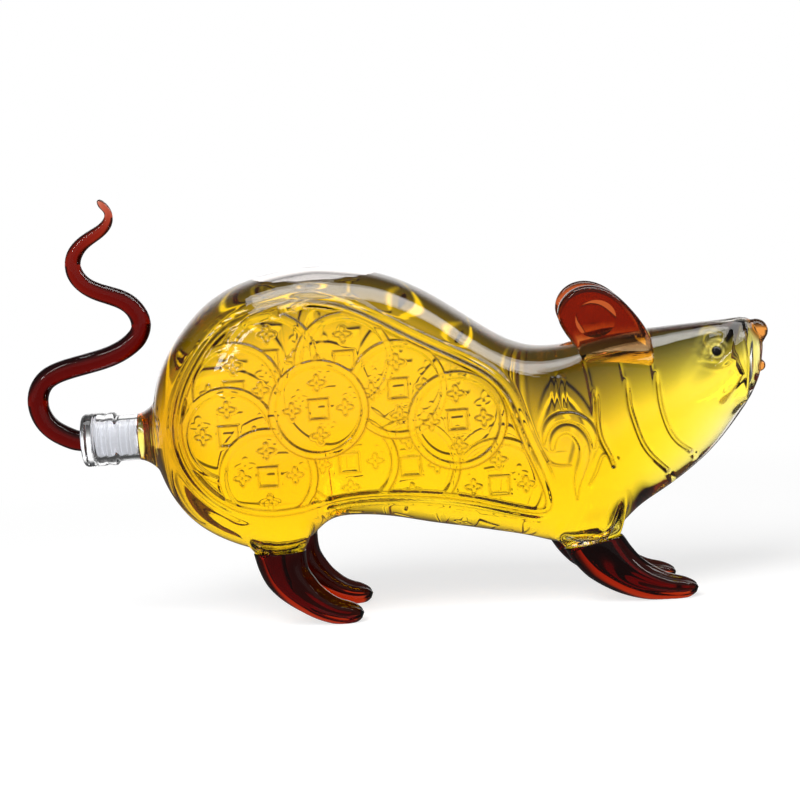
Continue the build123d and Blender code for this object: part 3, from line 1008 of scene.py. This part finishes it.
def tint_by_height(material, low, high, tints):
    """Colours glass with these (share of the height, tint), from low to high."""
    shader, tree = shader_of(material)
    place = add(tree, "ShaderNodeTexCoord").outputs["Object"]
    z = add(tree, "ShaderNodeSeparateXYZ", {"Vector": place}).outputs["Z"]
    noise = add(tree, "ShaderNodeTexNoise", {"Vector": place, "Scale": 260}).outputs["Fac"]
    wander = calculated(tree, "MULTIPLY_ADD", noise, 0.004, z)
    share = ranged(tree, wander, (low * MM, high * MM), kind="LINEAR")
    ramp = add(tree, "ShaderNodeValToRGB", {"Fac": share})
    stops = ramp.color_ramp.elements
    while len(stops) < len(tints):
        stops.new(0.5)
    for stop, (place_on_ramp, tint) in zip(stops, tints):
        stop.position = place_on_ramp
        stop.color = (*tint, 1)
    tree.links.new(ramp.outputs["Color"], shader.inputs["Base Color"])


def bead_material(name, outward):
    """Black glass seen from outside only, so that the far bead is not seen through the head."""
    material, tree = new_material(name)
    shader = add(tree, "ShaderNodeBsdfPrincipled", {
        "Base Color": (0.008, 0.007, 0.008, 1), "Roughness": 0.04})
    ripples(tree, shader, *small_ripple)
    normal = add(tree, "ShaderNodeTexCoord").outputs["Normal"]
    y = add(tree, "ShaderNodeSeparateXYZ", {"Vector": normal}).outputs["Y"]
    outer_half = calculated(tree, "GREATER_THAN", calculated(tree, "MULTIPLY", y, outward), 0.0)
    seen = calculated(tree, "MULTIPLY", outer_half, outer_side(tree))
    clear = add(tree, "ShaderNodeBsdfTransparent").outputs["BSDF"]
    finish_surface(tree, mixed(tree, seen, clear, shader.outputs["BSDF"]))
    return material


def sleeve_material(name, colour, roughness, glow):
    """A soft surface for translucent silicone, with a painted glow standing in for the light that gathers in
    the glass round it.
    """
    material, tree = new_material(name)
    shader = add(tree, "ShaderNodeBsdfPrincipled", {
        "Base Color": (*colour, 1), "Roughness": roughness,
        "Emission Color": (*colour, 1), "Emission Strength": glow})
    ripples(tree, shader, *small_ripple)
    finish_surface(tree, shader.outputs["BSDF"])
    return material


clear_glass = glass_material("clear_glass", ripple=(26, 0.02))
# painted dark lines and contours, painted warmth, and a painted glint round the eye
paint_shade_and_glint(
    clear_glass, painted_shade_colour=(0.17, 0.07, 0.01), warm_colour=(0.70, 0.27, 0.05),
    painted_glint_colour=(1.0, 0.84, 0.22), painted_glint_strength=0.42)
liquor_glass = glass_material("liquor_yellow", ior=1.36, passed=(0.996, 0.920, 0.05), density=110)
amber_glass = glass_material("amber_glass", passed=(0.895, 0.64, 0.42), density=1000, ripple=amber_ripple)
ear_glass = glass_material("ear_glass", passed=(0.905, 0.56, 0.15), density=70, ripple=amber_ripple)
tail_glass = glass_material("tail_glass", passed=(0.89, 0.685, 0.61), density=2600, ripple=amber_ripple)
right_bead = bead_material("black_bead_right", -1)
left_bead = bead_material("black_bead_left", 1)
# the sleeve's glow is painted light: emission, though it is no lamp
seal_rubber = sleeve_material("seal_sleeve", (0.88, 0.90, 0.96), roughness=0.35, glow=0.50)

# The ears are clear at the root and amber at the tip, over these heights
ear_root, ear_tip = 98.0, 118.0
ear_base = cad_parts["right_ear"].matrix_world.translation.z / MM
tint_by_height(ear_glass, ear_root - ear_base, ear_tip - ear_base, [
    (0.0, (1.0, 0.98, 0.92)),
    (0.35, (1.0, 0.92, 0.70)),
    (0.60, (0.90, 0.62, 0.34)),
    (0.95, (0.43, 0.095, 0.025)),
])

glass_body(clear_glass)
liquor_fill(liquor_glass)
for side, name in [(-1, "right"), (1, "left")]:
    foot_piece(f"{name}_hind_foot", hind_leg, side, amber_glass)
    foot_piece(f"{name}_front_foot", front_leg, side, amber_glass)

for node, material in [
    ("right_ear", ear_glass),
    ("left_ear", ear_glass),
    ("right_eye", right_bead),
    ("left_eye", left_bead),
    ("stopper_plug", clear_glass),
    ("stopper_sleeve", seal_rubber),
    ("tail", tail_glass),
]:
    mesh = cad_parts[node].data
    mesh.materials.clear()
    mesh.materials.append(material)
    mesh.polygons.foreach_set("use_smooth", [True] * len(mesh.polygons))


# Stage: a pale floor, a bright window behind the glass, soft lamps, and the camera of the photograph
floor_half = 3.0
shadow_reach = (0.22, 0.55)   # metres from the decanter over which the floor turns plain white
floor_limits = (0.14, 0.66)   # metres behind and in front over which the floor seen through glass changes
floor_behind = (0.07, 1.35)   # its brightness there
floor_in_reflections = 0.10
room_light = 0.10
window_light = 1.40
front_light = 0.22            # of the floor and the room in front, as seen through glass
window_depth = (0.45, 0.10)   # sines of the angles from which and to which the window fades, forwards
window_edge = (0.34, 0.62)    # to each side
window_top = (0.42, 0.72)     # and upwards
front_depth = (-0.60, -0.15)  # the same for the light in front


def glow(tree, strength):
    """A white light of this strength."""
    return add(tree, "ShaderNodeEmission", {"Strength": strength}).outputs["Emission"]


def matt(tree, tone):
    """A matt grey surface."""
    return add(tree, "ShaderNodeBsdfDiffuse", {"Color": (tone, tone, tone, 1)}).outputs["BSDF"]


def floor_material():
    """A matt floor that keeps the shadow near the decanter and is plain white farther out, and
    that glass sees bright behind the decanter and dim in front of it."""
    material, tree = new_material("floor_white")
    paths = add(tree, "ShaderNodeLightPath").outputs
    place = add(tree, "ShaderNodeTexCoord").outputs["Object"]
    distance = add(tree, "ShaderNodeVectorMath", {0: place}, operation="LENGTH").outputs["Value"]
    y = add(tree, "ShaderNodeSeparateXYZ", {"Vector": place}).outputs["Y"]
    lifted = add(tree, "ShaderNodeAddShader", {0: matt(tree, 0.40), 1: glow(tree, 0.72)})
    away = ranged(tree, distance, shadow_reach, kind="LINEAR")
    seen = mixed(tree, away, lifted.outputs["Shader"], glow(tree, 1.0))
    behind = ranged(tree, y, floor_limits, floor_behind)
    in_front = ranged(tree, y, [-limit for limit in floor_limits], (0.0, front_light))
    through = glow(tree, calculated(tree, "ADD", behind, in_front))
    mirrored = mixed(tree, paths["Is Glossy Ray"], matt(tree, 0.75), glow(tree, floor_in_reflections))
    unseen = mixed(tree, paths["Is Transmission Ray"], mirrored, through)
    finish_surface(tree, mixed(tree, paths["Is Camera Ray"], unseen, seen))
    return material


def background(tree, strength, colour=(1, 1, 1)):
    """A light from everywhere."""
    inputs = {"Color": (*colour, 1), "Strength": strength}
    return add(tree, "ShaderNodeBackground", inputs).outputs["Background"]


def studio_world():
    """Plain white to the camera, and to everything else a dim room with a bright window at the
    back and a weak light in front."""
    world = bpy.data.worlds.new("studio")
    world.use_nodes = True
    tree = world.node_tree
    tree.nodes.clear()
    direction = add(tree, "ShaderNodeTexCoord").outputs["Generated"]
    x, y, z = add(tree, "ShaderNodeSeparateXYZ", {"Vector": direction}).outputs
    behind = ranged(tree, y, window_depth, (1.0, 0.0))
    across = ranged(tree, calculated(tree, "ABSOLUTE", x), window_edge, (1.0, 0.0))
    upward = ranged(tree, z, window_top, (1.0, 0.0))
    window = calculated(tree, "MULTIPLY", calculated(tree, "MULTIPLY", behind, across), upward)
    room = background(tree, room_light, (0.88, 0.90, 0.95))
    front = background(tree, front_light)
    around = mixed(tree, ranged(tree, y, front_depth, (1.0, 0.0)), room, front)
    studio = mixed(tree, window, around, background(tree, window_light))
    seen = add(tree, "ShaderNodeLightPath").outputs["Is Camera Ray"]
    surface = mixed(tree, seen, studio, background(tree, 1.0))
    add(tree, "ShaderNodeOutputWorld", {"Surface": surface})
    return world


def floor_piece(half, material):
    """A square floor, in metres."""
    corners = [(x * half, y * half, 0) for y in (-1, 1) for x in (-1, 1)]
    mesh = bpy.data.meshes.new("floor")
    mesh.from_pydata(corners, [], [(0, 1, 3, 2)])
    mesh.materials.append(material)
    piece = new_object("floor", mesh)


def softbox(name, place, aim, size, power):
    """A rectangular lamp that looks at a point."""
    lamp = bpy.data.lights.new(name, "AREA")
    lamp.shape = "RECTANGLE"
    lamp.size, lamp.size_y = size
    lamp.energy = power
    piece = new_object(name, lamp)
    piece.location = place
    piece.rotation_euler = (Vector(aim) - Vector(place)).to_track_quat("-Z", "Y").to_euler()
    return piece


floor_piece(floor_half, floor_material())

overhead = softbox("overhead", (0.95, 0.01, 1.25), (0.95, 0.01, 0), (3.0, 0.56), 19)
overhead.visible_diffuse = False
strip = softbox("strip", (-0.9, -1.0, 1.1), (0, 0, 0.08), (0.12, 0.9), 3)
strip.visible_diffuse = False
fill = softbox("fill", (-0.5, -0.9, 1.1), (0, 0, 0), (0.9, 0.9), 22)
fill.visible_glossy = False
fill.visible_transmission = False

scene = bpy.context.scene
scene.world = studio_world()

camera_data = bpy.data.cameras.new("camera")
camera_data.lens = 95.96
camera_data.sensor_width = 36.0
camera_data.clip_start = 0.01
camera_data.clip_end = 50
camera = new_object("camera", camera_data)
camera.location = (0.0, -0.9144, 0.169)
pitch, roll = 4.909, 4.145
look = Matrix.Rotation(math.radians(90 - pitch), 4, "X") @ Matrix.Rotation(math.radians(-roll), 4, "Z")
camera.rotation_euler = look.to_euler()
scene.camera = camera
scene.view_settings.view_transform = "Standard"
scene.cycles.max_bounces = 24
scene.cycles.transmission_bounces = 20
